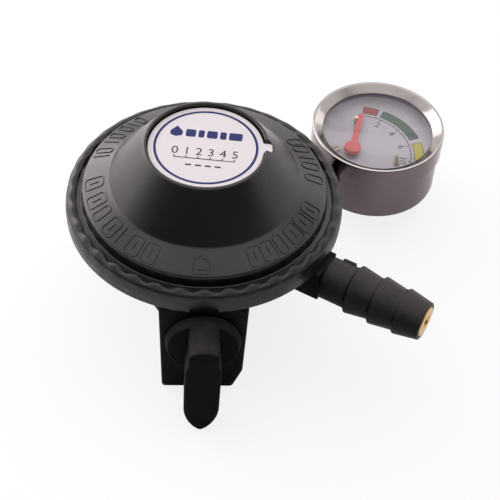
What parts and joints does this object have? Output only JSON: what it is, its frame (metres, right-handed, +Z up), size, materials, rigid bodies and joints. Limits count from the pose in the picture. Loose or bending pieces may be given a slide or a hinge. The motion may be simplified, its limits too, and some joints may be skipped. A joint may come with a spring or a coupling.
{
  "type": "gas regulator",
  "caption": "Low-pressure gas regulator with a clip-on cylinder socket, turning lock handle, barbed hose outlet, crimped round housing and a small pressure gauge.",
  "frame": {"origin": "under the middle of the bounding box, on the plane that the socket's rim and the front block stand on", "axes": "+Z up along the regulator's own axis, out of the cylinder valve; -Y out of the knob's face; +X towards the hose outlet and the gauge"},
  "size_m": [0.1106, 0.1124, 0.0588],
  "materials": {
    "body_black": "black paint on die-cast metal, satin with a fine grain",
    "ring_black": "black paint over a rolled steel ring, worn lighter on the crimped crown",
    "bonnet_black": "black paint, satin",
    "label_white": "white printed plastic",
    "alloy": "turned, bare",
    "spring_steel": "bare spring wire",
    "diaphragm_rubber": "matte rubber with cloth",
    "plate_steel": "pressed, zinc plated",
    "bush_brass": "turned brass",
    "sleeve_steel": "turned steel",
    "plunger_brass": "turned brass",
    "seal_rubber": "black rubber",
    "ball_steel": "polished bearing ball",
    "handle_black": "black moulded plastic with a soft gloss",
    "shaft_steel": "turned steel",
    "nozzle_black": "black moulded plastic, satin",
    "insert_brass": "turned brass tube",
    "case_chrome": "plated steel, slightly hazy",
    "bezel_chrome": "plated steel, bright",
    "window_glass": "clear lens",
    "dial_white": "pale blue-white printed plate",
    "pointer_red": "coral red enamel",
    "movement_brass": "pressed brass",
    "stem_brass": "turned brass, dulled",
    "washer_alloy": "bare",
    "pin_brass": "bright brass"
  },
  "bodies": {
    "housing": {"lower_body": "body_black", "clamp_ring": "ring_black", "bonnet": "bonnet_black", "label_disc": "label_white", "adjusting_plug": "alloy", "main_spring": "spring_steel", "diaphragm": "diaphragm_rubber", "socket_bush": "bush_brass", "orifice_nozzle": "plunger_brass", "lever_pin": "plate_steel", "shaft_pin": "shaft_steel", "hose_nozzle": "nozzle_black", "nozzle_insert": "insert_brass", "gauge_case": "case_chrome", "gauge_bezel": "bezel_chrome", "gauge_window": "window_glass", "gauge_dial": "dial_white", "gauge_stem": "stem_brass", "gauge_washer": "washer_alloy", "bourdon_tube": "movement_brass", "gauge_bridge": "movement_brass", "stop_pin": "pin_brass", "limit_post": "pin_brass", "dial_screw": "pin_brass"},
    "knob": {"handle": "handle_black", "switch_shaft": "shaft_steel", "shaft_o_ring": "seal_rubber"},
    "lock": {"plunger": "plunger_brass", "plunger_o_ring": "seal_rubber", "drive_collar": "plunger_brass", "inlet_seal": "seal_rubber", "lock_sleeve": "sleeve_steel"},
    "ball_1": {"lock_ball_1": "ball_steel"},
    "ball_2": {"lock_ball_2": "ball_steel"},
    "ball_3": {"lock_ball_3": "ball_steel"},
    "diaphragm_centre": {"diaphragm_plate": "plate_steel", "diaphragm_stem": "alloy"},
    "lever": {"valve_lever": "plate_steel", "seat_carrier": "alloy", "seat_disc": "seal_rubber"},
    "pointer": {"gauge_pointer": "pointer_red", "pointer_arbor": "shaft_steel"},
    "link": {"gauge_link": "movement_brass"}
  },
  "joints": [
    {"name": "knob_turn", "type": "hinge", "parent": "housing", "child": "knob", "pos_m": [-0.01729, -0.05018, 0.0214], "axis": [0, -1, 0], "range_deg": [0, 90]},
    {"name": "lock_slide", "type": "slide", "parent": "housing", "child": "lock", "axis": [0, 0, 1], "range_m": [0, 0.00255]},
    {"name": "ball_1_slide", "type": "slide", "parent": "housing", "child": "ball_1", "axis": [1, 0, 0], "range_m": [0, 0.00125]},
    {"name": "ball_2_slide", "type": "slide", "parent": "housing", "child": "ball_2", "axis": [-0.5, 0.866, 0], "range_m": [0, 0.00125]},
    {"name": "ball_3_slide", "type": "slide", "parent": "housing", "child": "ball_3", "axis": [-0.5, -0.866, 0], "range_m": [0, 0.00125]},
    {"name": "diaphragm_slide", "type": "slide", "parent": "housing", "child": "diaphragm_centre", "axis": [0, 0, 1], "range_m": [0, 0.0012], "stiffness_N_per_m": 300, "springref_m": -0.003, "deforming": ["main_spring", "diaphragm"]},
    {"name": "lever_turn", "type": "hinge", "parent": "housing", "child": "lever", "pos_m": [-0.02729, -0.00518, 0.0352], "axis": [0, -1, 0], "range_deg": [0, 6.88]},
    {"name": "pointer_turn", "type": "hinge", "parent": "housing", "child": "pointer", "pos_m": [0.02788, 0.03163, 0.022], "axis": [0, 0, -1], "range_deg": [0, 88], "stiffness_Nm_per_rad": 0.0003, "deforming": ["bourdon_tube"]},
    {"name": "link_slide", "type": "slide", "parent": "housing", "child": "link", "axis": [0.6184, -0.7859, 0], "range_m": [0, 0.0025]}
  ],
  "couplings": [
    {"joint": "knob_turn", "follows": "lock_slide", "rad_per_m": 616.8},
    {"joint": "ball_1_slide", "follows": "lock_slide", "ratio": 0.49},
    {"joint": "ball_2_slide", "follows": "lock_slide", "ratio": 0.49},
    {"joint": "ball_3_slide", "follows": "lock_slide", "ratio": 0.49},
    {"joint": "lever_turn", "follows": "diaphragm_slide", "rad_per_m": 100},
    {"joint": "pointer_turn", "follows": "link_slide", "rad_per_m": 614.6}
  ]
}
